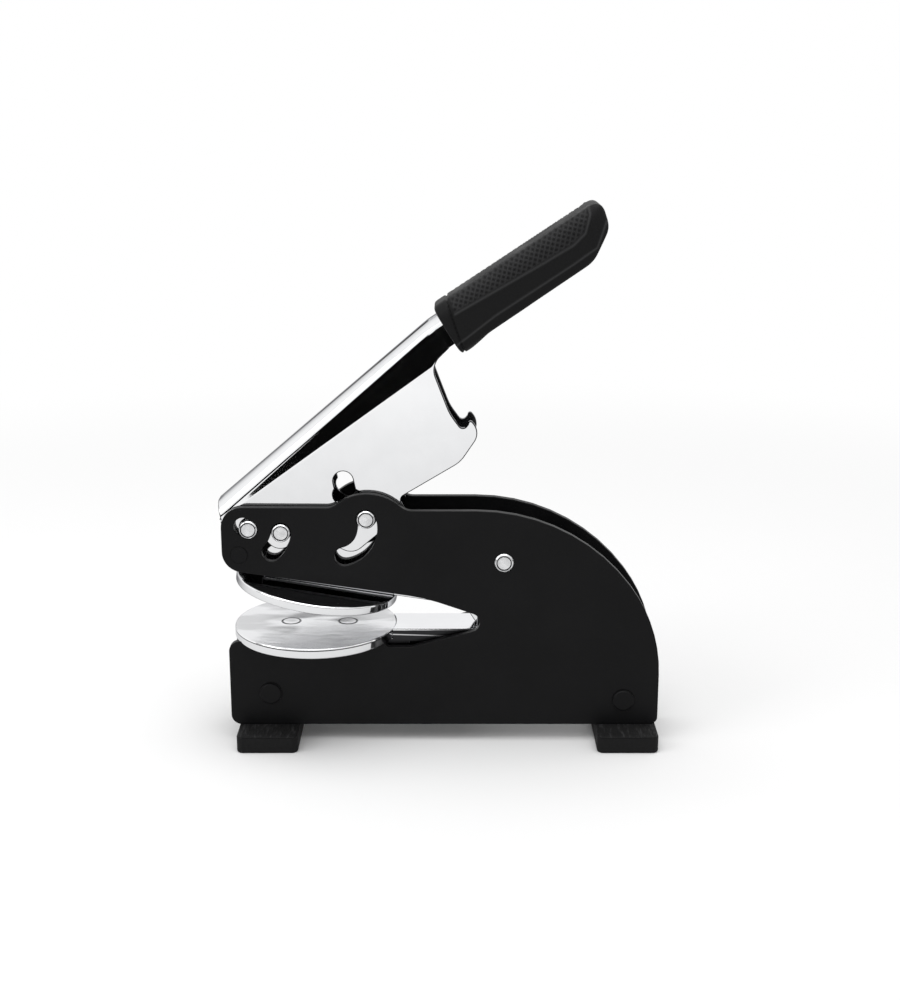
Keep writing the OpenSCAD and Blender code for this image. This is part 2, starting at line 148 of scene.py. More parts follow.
# The grip in the tang's axes, in millimetres: the size of its faces, how often they
# are smoothed, and the hollow round the tang as half its width, its lowest and highest
# point and its end
GRIP_GRAIN = 0.4
GRIP_SMOOTHING = 22
GRIP_HOLLOW = (9.05, -12.1, 0.1, 65.3)

# Its relief, in millimetres: where across it starts and is full, the leaning groove
# behind the collar, how the hatching fades in from the panel's edge and from the
# groove, how the border does from the groove, the lines' half widths and each height
RELIEF_SIDE = (5.0, 9.0)
COLLAR_END = 9.9
COLLAR_LEAN = 0.25
HATCH_FROM_EDGE = (0.6, 1.2)
HATCH_FROM_COLLAR = (1.2, 2.0)
BORDER_FROM_COLLAR = (0.8, 1.6)
LINE_HALF = 0.7
SEAM_HALF = 0.6
HATCH_RISE = 0.35
GROOVE_DEPTH = 0.7
BORDER_RISE = 0.3
SEAM_RISE = 0.25

# How much lighter the hatching and the lines are painted: wear, and highlights on the
# ridges
HATCH_WEAR_AND_HIGHLIGHT = 0.55
LINE_WEAR_AND_HIGHLIGHT = 0.9

# The hatched panel's lower edge and the seam above the grip's bottom, both given from
# the front end to the rear
PANEL_EDGE = (
    (8.0, -2.4),
    (47.2, -5.0),
    (59.6, -5.6),
    (65.4, -4.4),
    (70.3, 0.0),
    (71.6, 3.3),
)
GRIP_SEAM = (
    (5.0, -12.4),
    (22.5, -11.1),
    (55.9, -11.3),
    (66.3, -11.0),
    (74.0, -5.0),
)

# The camera, level across and tilted from straight down; lens and sensor in millimetres
CAMERA_LENS = 55.62
CAMERA_SENSOR = 36.0
CAMERA_CLIP = (0.01, 50.0)
CAMERA_PLACE = (0.00363, -0.56712, 0.24864)
CAMERA_TILT = math.radians(74.7)

# The floor: its width, its grey as it lights the machine and as the camera sees it,
# and how far from the middle it turns plain white
FLOOR_WIDTH = 12.0
FLOOR_TONES = ((0.72, 0.72, 0.72), (0.93, 0.93, 0.93))
FLOOR_FADE = (0.3, 0.75)

# The dark cards: name, width, place on the floor and turn in degrees
CARDS = (
    ("front_card", 5.2, 0.0, -2.0, 0.0),
    ("left_card", 2.6, -2.0, -1.2, 55.0),
    ("right_card", 2.6, 2.0, -1.2, -55.0),
)
CARD_HEIGHT = 0.5

# The softboxes: name, width, share of the lamp power, place and aim
LAMPS = (
    ("overhead softbox", 1.4, 1.0, (0.0, -0.2, 1.5), (0.0, 0.0, 0.0)),
    ("left softbox", 0.9, 0.35, (-1.3, -0.7, 0.9), (0.0, 0.0, 0.1)),
)


# ---- Finishes: shader maths as Python expressions ----


class Signal:
    """An output socket that adds Math nodes when it is used in an expression."""

    def __init__(self, finish, socket):
        self.finish = finish
        self.socket = socket

    def _math(self, operation, *values):
        return self.finish.node(
            "ShaderNodeMath", {"operation": operation}, dict(enumerate(values))
        )

    def __add__(self, other):
        return self._math("ADD", self, other)

    def __sub__(self, other):
        return self._math("SUBTRACT", self, other)

    def __mul__(self, other):
        return self._math("MULTIPLY", self, other)

    def __rsub__(self, other):
        return self._math("SUBTRACT", other, self)

    def __abs__(self):
        return self._math("ABSOLUTE", self)

    __radd__ = __add__
    __rmul__ = __mul__

    def at_most(self, other):
        return self._math("MINIMUM", self, other)

    def at_least(self, other):
        return self._math("MAXIMUM", self, other)

    def step(self, low, high, to_low=0.0, to_high=1.0):
        """to_low below low, to_high above high, and a smooth ramp between."""
        return self.finish.node(
            "ShaderNodeMapRange",
            {"interpolation_type": "SMOOTHSTEP"},
            {
                "Value": self,
                "From Min": low,
                "From Max": high,
                "To Min": to_low,
                "To Max": to_high,
            },
        )


class Finish:
    """A node-based material for one of the embosser's finishes, or the room's light."""

    def __init__(self, name, world=None):
        self.material = world or bpy.data.materials.new(name)
        self.material.use_nodes = True
        self.tree = self.material.node_tree
        self.tree.nodes.clear()

    def node(self, kind, settings=None, sockets=None, out=0):
        """Adds a node: its settings first, then the values or links of its sockets."""
        made = self.tree.nodes.new(kind)
        for key, value in (settings or {}).items():
            setattr(made, key, value)
        for key, value in (sockets or {}).items():
            if isinstance(value, Signal):
                self.tree.links.new(value.socket, made.inputs[key])
            else:
                made.inputs[key].default_value = value
        return Signal(self, made.outputs[out]) if made.outputs else None

    def coords(self):
        """Object coordinates, in metres."""
        return self.node("ShaderNodeTexCoord", out="Object")

    def relief(self):
        """How much lighter a moulded surface is painted, for wear and as highlights on
        its ridges, as its mesh says, in 0..1.
        """
        return self.node("ShaderNodeAttribute", {"attribute_name": RELIEF}, out="Fac")

    def millimetres(self, origin):
        """Object coordinates in millimetres from a point."""
        return self.node(
            "ShaderNodeMapping",
            {"vector_type": "TEXTURE"},
            {"Vector": self.coords(), "Location": origin, "Scale": (MM, MM, MM)},
        )

    def axis(self, vector, index):
        return self.node("ShaderNodeSeparateXYZ", None, {0: vector}, out=index)

    def flat(self, x, y):
        """Two values as a vector, with nothing in its third place."""
        return self.node("ShaderNodeCombineXYZ", None, {0: x, 1: y})

    def length(self, vector):
        return self.node(
            "ShaderNodeVectorMath", {"operation": "LENGTH"}, {0: vector}, out="Value"
        )

    def stretched(self, scale):
        return self.node(
            "ShaderNodeMapping", None, {"Vector": self.coords(), "Scale": scale}
        )

    def noise(self, scale, detail=3.0, vector=None):
        return self.node(
            "ShaderNodeTexNoise",
            None,
            {
                "Vector": vector or self.coords(),
                "Scale": scale,
                "Detail": detail,
                "Roughness": 0.55,
            },
        )

    def mixed(self, mask, low, high):
        """low where the mask is 0, high where it is 1: links, or colours with alpha."""
        return self.node(
            "ShaderNodeMix", {"data_type": "RGBA"}, {0: mask, 6: low, 7: high}, out=2
        )

    def two_tone(self, mask, low, high):
        return self.mixed(mask, (*low, 1.0), (*high, 1.0))

    def bump(self, height, depth, under=None):
        """Height in -1..1 as relief of the given depth in metres."""
        sockets = {"Height": height, "Distance": depth, "Strength": 1.0}
        if under:
            sockets["Normal"] = under
        return self.node("ShaderNodeBump", None, sockets)

    def surface(self, **sockets):
        shader = self.node(
            "ShaderNodeBsdfPrincipled",
            None,
            {key.replace("_", " "): value for key, value in sockets.items()},
        )
        self.node("ShaderNodeOutputMaterial", None, {"Surface": shader})
        return self.material


# How dark plating turns towards a glancing view, on curved sheet and on flat faces: a
# painted darkening that stands in for the dark reflections at the outlines
EDGE_TINT = (0.22, 0.22, 0.23, 1.0)
FLAT_TINT = (0.85, 0.85, 0.86, 1.0)

# Dark plating, painted in as shade in grooves and inside the sheet's folds and as dark
# reflections on rolled edges and the tongue's side; also the gap round flush rivets
# and the line round the die's rim
PAINTED_DARK = (0.035, 0.035, 0.037)


def shade_of(colour, amount):
    return tuple(min(1.0, c * amount) for c in colour)


def black_enamel(colour):
    """Baked enamel on steel sheet: near black, satin, with a faint orange peel."""
    f = Finish("black enamel")
    cloud = f.noise(38.0, 4.0)
    peel = f.noise(1500.0, 2.0)
    dust = f.noise(5200.0, 1.0).step(0.66, 0.72)
    tone = f.two_tone(
        (cloud.step(0.3, 0.7) * 0.7 + dust * 0.3).at_most(1.0),
        shade_of(colour, 0.8),
        shade_of(colour, 1.4),
    )
    return f.surface(
        Base_Color=tone,
        Roughness=cloud.step(0.3, 0.7, 0.36, 0.46),
        Specular_IOR_Level=0.14,
        Normal=f.bump(peel, 0.00003),
    )


def chrome(colour, name="chrome plate", edge_tint=EDGE_TINT):
    """Bright plating over pressed sheet, with the sheet's faint waviness."""
    f = Finish(name)
    wave = f.noise(22.0, 1.5)
    fine = f.noise(900.0, 2.0)
    smudge = f.noise(60.0, 4.0)
    return f.surface(
        Base_Color=f.two_tone(
            smudge.step(0.35, 0.7), shade_of(colour, 0.98), shade_of(colour, 1.02)
        ),
        Metallic=1.0,
        Specular_Tint=edge_tint,
        Roughness=smudge.step(0.4, 0.75, 0.04, 0.09),
        Normal=f.bump(wave, 0.0002, f.bump(fine, 0.000002)),
    )


def turned_chrome(colour):
    """Plating over a lathe-turned face: fine rings and soft clouds on the flat, with
    dark clouds painted in as the reflection of the upper jaw, strongest in the middle.
    """
    f = Finish("turned chrome plate")
    place = f.millimetres((DIE_X, 0.0, 0.0))
    x, y, z = (f.axis(place, i) for i in range(3))
    radius = f.length(f.flat(x, y))
    on_face = (z - DIE_FACE_MM).step(-0.35, -0.1)
    rings = f.noise(1.0, 3.0, f.flat(radius * 7.0, y * 0.08))
    # Soft clouds, longer across than along
    cloud = f.noise(1.0, 2.5, f.stretched((32.0, 80.0, 1.0))).step(0.44, 0.6)
    # Painted reflection: the clouds darken the colour as the upper jaw above would, most
    # in the middle
    wear_and_painted_reflection = radius.step(6.0, 24.0, 1.0, 0.35) * cloud
    # The thin dark gap round each flush rivet
    gaps = None
    for rivet_x in DIE_RIVETS_X:
        away = f.length(f.flat(x - (rivet_x - DIE_X) / MM, y))
        gap = abs(away - DIE_GAP_MM).step(0.2, 0.55, 1.0, 0.0)
        gaps = gap if gaps is None else gaps.at_least(gap)
    tone_with_painted_reflection = f.two_tone(
        on_face * (wear_and_painted_reflection * 0.85 + 0.05), colour, shade_of(colour, 0.26)
    )
    return f.surface(
        Base_Color=f.mixed(gaps * on_face, tone_with_painted_reflection, (*PAINTED_DARK, 1.0)),
        Metallic=1.0,
        Specular_Tint=FLAT_TINT,
        Roughness=on_face * cloud.step(0.0, 1.0, 0.1, 0.2) + 0.06,
        Normal=f.bump(rings * on_face, 0.00002, f.bump(cloud * on_face, 0.0001)),
    )


def bright_steel(colour):
    """Turned and zinc-plated pin ends: satin, finely mottled."""
    f = Finish("bright steel")
    grain = f.noise(1100.0, 3.0)
    cloud = f.noise(420.0, 3.0)
    return f.surface(
        Base_Color=f.two_tone(
            cloud.step(0.35, 0.7), shade_of(colour, 0.82), shade_of(colour, 1.06)
        ),
        Metallic=1.0,
        Roughness=cloud.step(0.3, 0.7, 0.2, 0.3),
        Normal=f.bump(grain, 0.00002),
    )


def painted_dark_plate(colour):
    """Dark plating, rougher than the chrome, painted in as shade inside the sheet's
    folds and as dark reflections on its rolled edges.
    """
    f = Finish("dull plate")
    grain = f.noise(1600.0, 3.0)
    return f.surface(
        Base_Color=f.two_tone(
            grain.step(0.35, 0.7), shade_of(colour, 0.6), shade_of(colour, 1.4)
        ),
        Metallic=1.0,
        Roughness=grain.step(0.3, 0.7, 0.24, 0.34),
        Normal=f.bump(grain, 0.00001),
    )


def painted_tongue_side(colour, dark):
    """Side of the tongue: a bright band and line painted on as reflections, over dark
    plating painted as a dark reflection.
    """
    f = Finish("sheared side")
    place = f.millimetres((0.0, 0.0, 0.0))
    x, z = f.axis(place, 0), f.axis(place, 2)
    grain = f.noise(1400.0, 3.0)
    band_wobble = f.noise(120.0, 3.0) * 0.3
    # Painted reflections: a bright band near the top edge and a thin bright line lower
    # down, on a dark side
    painted_band = (z + band_wobble).step(*BAND_FOOT) * z.step(*BAND_TOP, 1.0, 0.0)
    highlight_line = abs(z + x * 0.03 - HIGHLIGHT_LINE_MM).step(0.12, 0.3, 0.7, 0.0)
    bright = (painted_band + highlight_line).at_most(1.0) * x.step(*TONGUE_FADE, 1.0, 0.1)
    return f.surface(
        Base_Color=f.two_tone(bright, dark, colour),
        Metallic=1.0,
        Specular_Tint=EDGE_TINT,
        Roughness=bright.step(0.0, 1.0, 0.3, 0.08),
        Normal=f.bump(grain * (1.0 - bright), 0.00003),
    )


def foot_rubber(colour):
    """Moulded rubber block: matt, scuffed in streaks across its top."""
    f = Finish("foot rubber")
    streak = f.noise(1.0, 4.0, f.stretched((900.0, 160.0, 500.0)))
    speck = f.noise(2600.0, 2.0)
    top = f.axis(f.coords(), 2).step(*FOOT_TOP)
    # On the feet this mask is only the scuffs on the top
    wear_and_painted_reflection = streak.step(0.5, 0.7) * top
    return f.surface(
        Base_Color=f.two_tone(
            (wear_and_painted_reflection + speck * 0.2).at_most(1.0), colour, shade_of(colour, 4.0)
        ),
        Roughness=streak.step(0.3, 0.7, 0.6, 0.75),
        Specular_IOR_Level=0.16,
        Normal=f.bump(streak * top, 0.0008, f.bump(speck, 0.00003)),
    )


def grip_rubber(colour):
    """Moulded grip: its raised hatching and seams are painted lighter, for wear and as
    highlights on the ridges.
    """
    f = Finish("grip rubber")
    grain = f.noise(1800.0, 3.0)
    shine = f.noise(90.0, 3.0)
    return f.surface(
        Base_Color=f.two_tone(
            (f.relief() * 0.9 + grain * 0.1).at_most(1.0),
            shade_of(colour, 1.3),
            shade_of(colour, 6.0),
        ),
        Roughness=shine.step(0.3, 0.7, 0.45, 0.6),
        Specular_IOR_Level=0.08,
        Normal=f.bump(grain, 0.00004),
    )


# ---- Shapes ----


def lever_point(s, y, n):
    """A point given along the lever (s), across it (y) and square to it (n)."""
    c, k = math.cos(LEVER_TILT), math.sin(LEVER_TILT)
    return PIVOT + Vector((s * c - n * k, y, s * k + n * c))


def lever_axes(p):
    """(s, n) of a point, the reverse of lever_point."""
    c, k = math.cos(LEVER_TILT), math.sin(LEVER_TILT)
    d = p - PIVOT
    return d.x * c + d.z * k, d.z * c - d.x * k


def tail_axes():
    """The tang's own axes as a matrix: along it, across, and square to it."""
    corner = Matrix.Translation(lever_point(TAIL_S, 0.0, SPINE_N))
    return corner @ Matrix.Rotation(TAIL_BEND - LEVER_TILT, 4, "Y")


def copy_of(node):
    """The node's solid as a clean bmesh: doubles merged, flat faces in one piece."""
    bm = bmesh.new()
    bm.from_mesh(NODES[node].data)
    bmesh.ops.remove_doubles(bm, verts=bm.verts, dist=MERGE_DISTANCE)
    bmesh.ops.dissolve_limit(
        bm, angle_limit=FLAT_ANGLE, verts=bm.verts, edges=bm.edges
    )
    return bm


def sharp_edges(bm, degrees=28.0):
    limit = math.radians(degrees)
    return [
        e
        for e in bm.edges
        if len(e.link_faces) == 2 and e.calc_face_angle(0.0) > limit
    ]


def round_edges(bm, edges, radius, segments, material=None):
    """Rounds edges over, and gives the rounding a finish of its own if asked."""
    made = bmesh.ops.bevel(
        bm,
        geom=edges,
        offset=radius,
        offset_type="OFFSET",
        segments=segments,
        profile=0.5,
        affect="EDGES",
        clamp_overlap=False,
        material=-1,
    )
    if material is not None:
        for face in made["faces"]:
            face.material_index = material


def cut(bm, place, normal):
    """Cuts the faces along a plane and keeps both sides."""
    bmesh.ops.bisect_plane(
        bm,
        geom=bm.verts[:] + bm.edges[:] + bm.faces[:],
        plane_co=place,
        plane_no=normal,
    )


def piece(name, bm, finishes, body, nodes, smooth_degrees=40.0):
    """Makes the object, hangs it on the body it rides on, and hides the nodes it stands
    for.
    """
    mesh = bpy.data.meshes.new(name)
    bm.to_mesh(mesh)
    bm.free()
    mesh.shade_smooth()
    mesh.set_sharp_from_angle(angle=math.radians(smooth_degrees))
    obj = bpy.data.objects.new(name, mesh)
    bpy.context.scene.collection.objects.link(obj)
    for finish in finishes:
        mesh.materials.append(finish)
    weighted = obj.modifiers.new("flat faces stay flat", "WEIGHTED_NORMAL")
    weighted.keep_sharp = True
    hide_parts(*nodes)
    if body:
        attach(obj, body)
    return obj


def dressed(node, body, finishes, radius, segments, second=None):
    """A node's own solid with its edges rounded; second picks the faces that take
    the second finish."""
    bm = copy_of(node)
    for face in bm.faces:
        if second and second(face):
            face.material_index = SECOND
    round_edges(bm, sharp_edges(bm), radius, segments)
    return piece(node + "_finished", bm, finishes, body, [node])


def groove_ends(bm, centre, radius):
    """Gives a pin flat end faces with a bright rim, a groove painted dark as its shade,
    and a plain middle.
    """
    reach = max(v.co.y for v in bm.verts)
    for side in (1.0, -1.0):
        dish = [
            face
            for face in bm.faces
            if face.calc_center_median().y * side > reach - PIN_END_DEPTH
            and (face.calc_center_median() - centre).xz.length < radius * PIN_END_SHARE
        ]
        bmesh.ops.delete(bm, geom=dish, context="FACES")
        open_edges = [e for e in bm.edges if e.is_boundary]
        faces = bmesh.ops.holes_fill(bm, edges=open_edges, sides=0)["faces"]
        bmesh.ops.recalc_face_normals(bm, faces=bm.faces)
        for width, depth, material in PIN_RINGS:
            inset = bmesh.ops.inset_individual(
                bm, faces=faces, thickness=width, depth=depth, use_even_offset=True
            )
            for ring in inset["faces"]:
                ring.material_index = material


def pin_finishes(scene):
    colours = scene.embosser_colours
    return (
        finish_named("bright steel", bright_steel, colours.steel),
        finish_named("dull plate", painted_dark_plate, PAINTED_DARK),
    )


def recolour(node, finish):
    """A node that keeps its CAD shape takes a finish."""
    mesh = NODES[node].data
    if mesh.materials:
        for i in range(len(mesh.materials)):
            mesh.materials[i] = finish
    else:
        mesh.materials.append(finish)


def finish_named(name, build, *args):
    """The finish of that name, made on first use."""
    return bpy.data.materials.get(name) or build(*args)


# ---- Settings that a user would change ----


def colour_setting(name, description, default):
    return FloatVectorProperty(
        name=name,
        description=description,
        subtype="COLOR",
        size=3,
        min=0.0,
        max=1.0,
        default=default,
    )


def rounding_setting(name, description, default, low, high):
    return FloatProperty(
        name=name,
        description=description,
        subtype="DISTANCE",
        unit="LENGTH",
        min=low,
        max=high,
        default=default,
    )


class EmbosserColours(bpy.types.PropertyGroup):
    """Colours of the embosser's finishes"""

    enamel: colour_setting(
        "Enamel", "Colour of the baked enamel on the side plates", (0.005, 0.005, 0.0054)
    )
    rubber: colour_setting(
        "Rubber", "Colour of the feet and the grip", (0.0075, 0.0075, 0.0077)
    )
    plating: colour_setting(
        "Plating", "Colour of the chrome plating", (0.92, 0.925, 0.935)
    )
    steel: colour_setting(
        "Steel", "Colour of the pins and rivets", (0.86, 0.865, 0.875)
    )


class EmbosserSizes(bpy.types.PropertyGroup):
    """Sizes of the embosser's small details"""

    plate_edge: rounding_setting(
        "Plate edge", "Rounding of the side plates' edges", 0.0003, 0.0001, 0.001
    )
    sheet_edge: rounding_setting(
        "Sheet edge", "Rounding of the lever's cut edges", 0.0004, 0.0001, 0.0009
    )
    rubber_edge: rounding_setting(
        "Rubber edge", "Rounding of the feet's edges", 0.0007, 0.0002, 0.0015
    )
    hatch_pitch: FloatProperty(
        name="Hatch pitch",
        description="Spacing of the grip's cross-hatching, in millimetres",
        min=0.8,
        max=4.0,
        default=1.65,
    )
    rounding_steps: IntProperty(
        name="Rounding steps",
        description="Segments of each rounded edge",
        min=1,
        max=6,
        default=3,
    )


class EmbosserStage(bpy.types.PropertyGroup):
    """Light and floor"""

    lamp_power: FloatProperty(
        name="Lamp power",
        description="Power of the overhead softbox",
        subtype="POWER",
        unit="POWER",
        min=0.0,
        max=200.0,
        default=14.0,
    )
    room_light: FloatProperty(
        name="Room light",
        description="Strength of the white room around the machine",
        min=0.0,
        max=2.0,
        default=0.55,
    )
    floor_lift: FloatProperty(
        name="Floor lift",
        description="Brightness added to the floor where it is seen",
        min=0.0,
        max=1.0,
        default=0.02,
    )


class EMBOSSER_OT_side_plates(bpy.types.Operator):
    """Round the side plates' edges and enamel them"""

    bl_idname = "embosser.side_plates"
    bl_label = "Side plates"

    def execute(self, context):
        scene = context.scene
        enamel = finish_named(
            "black enamel", black_enamel, scene.embosser_colours.enamel
        )
        for node in ("near_side_plate", "far_side_plate"):
            dressed(
                node,
                "frame",
                [enamel],
                scene.embosser_sizes.plate_edge,
                scene.embosser_sizes.rounding_steps,
            )
        return {"FINISHED"}


class EMBOSSER_OT_rivets(bpy.types.Operator):
    """Enamel the rivets and plate the spacers between the side plates"""

    bl_idname = "embosser.rivets"
    bl_label = "Rivets and spacers"

    def execute(self, context):
        colours = context.scene.embosser_colours
        enamel = finish_named("black enamel", black_enamel, colours.enamel)
        steel = finish_named("bright steel", bright_steel, colours.steel)
        for node in ("front_lower_rivet", "rear_lower_rivet", "front_upper_rivet"):
            dressed(node, "frame", [enamel], RIVET_EDGE, 3)
        for node in ("front_lower_spacer", "rear_lower_spacer", "front_upper_spacer"):
            recolour(node, steel)
        return {"FINISHED"}


class EMBOSSER_OT_pins(bpy.types.Operator):
    """Finish the pins of the lever, wedge, latch and jaw hinge"""

    bl_idname = "embosser.pins"
    bl_label = "Pins"

    def execute(self, context):
        steel, painted_dark = pin_finishes(context.scene)
        for node, body in (
            ("lever_pivot_pin", "lever"),
            ("lever_stop_pin", "lever"),
            ("wedge_pin", "wedge"),
            ("latch_pin", "frame"),
        ):
            bm = copy_of(node)
            middle = sum((v.co for v in bm.verts), Vector()) / len(bm.verts)
            round_edges(bm, sharp_edges(bm, degrees=40.0), PIN_EDGE, 2)
            groove_ends(bm, middle, PIN_RADIUS)
            piece(node + "_finished", bm, [steel, painted_dark], body, [node])
        for node in ("jaw_hinge_pin", "wedge_pin_rings"):
            recolour(node, steel)
        return {"FINISHED"}


class EMBOSSER_OT_feet(bpy.types.Operator):
    """Soften the rubber feet"""

    bl_idname = "embosser.feet"
    bl_label = "Feet"

    def execute(self, context):
        scene = context.scene
        rubber = finish_named(
            "foot rubber", foot_rubber, scene.embosser_colours.rubber
        )
        for node in ("front_foot", "rear_foot"):
            dressed(
                node,
                "frame",
                [rubber],
                scene.embosser_sizes.rubber_edge,
                scene.embosser_sizes.rounding_steps,
            )
        return {"FINISHED"}


class EMBOSSER_OT_lower_jaw(bpy.types.Operator):
    """Finish the lower die plate, its rivets and the tongue behind it"""

    bl_idname = "embosser.lower_jaw"
    bl_label = "Lower jaw"

    def execute(self, context):
        scene = context.scene
        plating = finish_named(
            "flat plate", chrome, scene.embosser_colours.plating, "flat plate", FLAT_TINT
        )
        painted_dark = pin_finishes(scene)[1]
        turned = turned_chrome(scene.embosser_colours.plating)
        painted_tongue_reflection = painted_tongue_side(scene.embosser_colours.plating, PAINTED_DARK)
        self.die_plate(turned, painted_dark)
        dressed(
            "lower_tongue",
            "frame",
            [plating, painted_tongue_reflection],
            TONGUE_EDGE,
            2,
            second=lambda face: abs(face.normal.y) > 0.9,
        )
        recolour("lower_die_rivets", turned)
        return {"FINISHED"}

    def die_plate(self, turned, painted_dark):
        """The plate's rim gets a dark line below its rounded top edge."""
        bm = copy_of("lower_die_plate")
        round_edges(bm, sharp_edges(bm), DIE_EDGE, 3)
        low, high = DIE_LINE_MM
        for height in (low, high):
            cut(bm, (0.0, 0.0, height * MM), (0.0, 0.0, 1.0))
        for face in bm.faces:
            if low < face.calc_center_median().z / MM < high:
                face.material_index = SECOND
        piece(
            "lower_die_plate_finished",
            bm,
            [turned, painted_dark],
            "frame",
            ["lower_die_plate"],
        )


class EMBOSSER_OT_upper_jaw(bpy.types.Operator):
    """Finish the upper arm, its die plate and rivets"""

    bl_idname = "embosser.upper_jaw"
    bl_label = "Upper jaw"

    def execute(self, context):
        scene = context.scene
        plating = finish_named("chrome plate", chrome, scene.embosser_colours.plating)
        steel, painted_dark = pin_finishes(scene)
        bm = copy_of("upper_arm")
        # The rounded edges take the dark plating as painted dark reflections
        round_edges(bm, sharp_edges(bm), ARM_EDGE, 2, material=SECOND)
        piece(
            "upper_arm_finished",
            bm,
            [plating, painted_dark],
            "jaw",
            ["upper_arm"],
        )
        dressed("upper_die_plate", "jaw", [plating], DIE_EDGE, 3)
        recolour("upper_die_rivets", steel)
        return {"FINISHED"}


class EMBOSSER_OT_jaw_spring(bpy.types.Operator):
    """Finish the jaw's return spring"""

    bl_idname = "embosser.jaw_spring"
    bl_label = "Jaw spring"

    def execute(self, context):
        steel = finish_named(
            "bright steel", bright_steel, context.scene.embosser_colours.steel
        )
        spring = piece(
            "jaw_spring_finished",
            copy_of("jaw_spring"),
            [steel],
            None,
            ["jaw_spring"],
            smooth_degrees=60.0,
        )
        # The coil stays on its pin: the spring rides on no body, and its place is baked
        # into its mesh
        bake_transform(spring)
        return {"FINISHED"}


def lean_start(s_mm):
    """Height n above which the cheek leans in, on its way up to the spine."""
    return LEAN_START_N - LEAN_FALL * (s_mm - LEAN_START_S)


def bend_radii(s_mm):
    """The spine's bend across and down: nearly half round, shallower behind."""
    share = min(max((s_mm - BEND_LOSS_FROM) / BEND_LOSS_OVER, 0.0), 1.0)
    return BEND_ACROSS, BEND_DOWN - BEND_LOSS * share


def bent(y, n, low, radii, top):
    """A point of the lever's section, given as square with round corners, moved to a
    rounder bend and, below it, onto a cheek that leans in from the height low."""
    slack = 0.001
    # Nearer than this to a middle, a point stays where it is
    middle = 0.5
    # The spine's top does not lean this near to its centre line
    level = 2.0
    across, down = radii
    # How far the point lies out and up from the centre of the section's own corner
    dy, dn = y - (HALF_WIDTH - CORNER), n - (top - CORNER)
    if dy > -slack and dn > -slack:
        old = math.hypot(dy, dn)
        inner = old < CORNER - SHEET / 2.0
        reach = (across - SHEET, down - SHEET) if inner else (across, down)
        if old > middle:
            y = HALF_WIDTH - across + reach[0] * dy / old
            n = top - down + reach[1] * dn / old
    elif dn > -slack and y > middle:
        y *= (HALF_WIDTH - across) / (HALF_WIDTH - CORNER)
    elif dy > -slack and n > low:
        share = (n - low) / (top - CORNER - low)
        n = low + (top - down - low) * min(share, 1.0)
    rise = min(max(n - low, 0.0), top - down - low)
    # Eased at first, so that the lean starts softly
    if rise > LEAN_EASE:
        pull = rise - LEAN_EASE / 2.0
    else:
        pull = rise * rise / (2.0 * LEAN_EASE)
    if y > level:
        y -= pull * math.tan(CHEEK_LEAN)
    return y, n


def cut_spine(bm):
    """Cuts the lever across its spine, and along the line where its cheeks lean in."""
    along = (lever_point(1.0, 0.0, 0.0) - PIVOT).normalized()
    square = (lever_point(0.0, 0.0, 1.0) - PIVOT).normalized()
    for s in SPINE_CUTS:
        cut(bm, lever_point(s * MM, 0.0, 0.0), along)
    for above in (-LEAN_EASE, 0.0, LEAN_EASE):
        place = lever_point(LEAN_START_S * MM, 0.0, (LEAN_START_N + above) * MM)
        cut(bm, place, (square + LEAN_FALL * along).normalized())


def reshape_spine(bm):
    """Draws the bend of the spine in, and leans the cheeks below it inwards."""
    tail = tail_axes()
    to_tail = tail.inverted()
    for v in bm.verts:
        s, n = (x / MM for x in lever_axes(v.co))
        side = 1.0 if v.co.y > 0 else -1.0
        across = abs(v.co.y) / MM
        if s < TAIL_S / MM:
            y, n = bent(across, n, lean_start(s), bend_radii(s), SPINE_N / MM)
            v.co = lever_point(s * MM, side * y * MM, n * MM)
        else:
            t, _, m = to_tail @ v.co
            y, m = bent(across, m / MM, TANG_LEAN_START, bend_radii(s), 0.0)
            v.co = tail @ Vector((t, side * y * MM, m * MM))


class EMBOSSER_OT_lever(bpy.types.Operator):
    """Shape and plate the sheet-steel lever"""

    bl_idname = "embosser.lever"
    bl_label = "Lever"

    def execute(self, context):
        scene = context.scene
        plating = finish_named("chrome plate", chrome, scene.embosser_colours.plating)
        painted_dark = pin_finishes(scene)[1]
        bm = copy_of("lever")
        for face in bm.faces:
            # The inside of the sheet, which only its cut edges join to the outside:
            # painted dark as the shade inside the channel
            middle = face.calc_center_median().y
            if face.normal.y * middle < -0.5 * abs(middle):
                face.material_index = SECOND
        cut_spine(bm)
        reshape_spine(bm)
        cut_edges = [
            e
            for e in sharp_edges(bm, degrees=50.0)
            if any(abs(lever_axes(v.co)[0] - TAIL_S) > SEAM_REACH for v in e.verts)
            and e.calc_length() > SHORTEST_EDGE
        ]
        rounding = scene.embosser_sizes.sheet_edge
        # The rounded cut edges take the dark plating as painted dark reflections
        round_edges(bm, cut_edges, rounding, 2, material=SECOND)
        piece(
            "lever_finished",
            bm,
            [plating, painted_dark],
            "lever",
            ["lever"],
            smooth_degrees=32.0,
        )
        return {"FINISHED"}


def near_line(points, t, m):
    """Distance in millimetres of (t, m) from a chain of points, negative below it."""
    best = None
    for (t0, m0), (t1, m1) in zip(points, points[1:]):
        dt, dm = t1 - t0, m1 - m0
        share = ((t - t0) * dt + (m - m0) * dm) / math.hypot(dt, dm) ** 2
        share = min(max(share, 0.0), 1.0)
        away = math.hypot(t - t0 - share * dt, m - m0 - share * dm)
        if best is None or away < abs(best):
            best = away if dt * (m - m0) - dm * (t - t0) > 0.0 else -away
    return best


def ridge(distance, half_width):
    """A rounded ridge: 1 on its crest, 0 from half_width on."""
    share = min(abs(distance) / half_width, 1.0)
    return 0.5 + 0.5 * math.cos(math.pi * share)


def eased(value, low, high):
    """0 below low, 1 above high, and a smooth rise between."""
    share = min(max((value - low) / (high - low), 0.0), 1.0)
    return share * share * (3.0 - 2.0 * share)


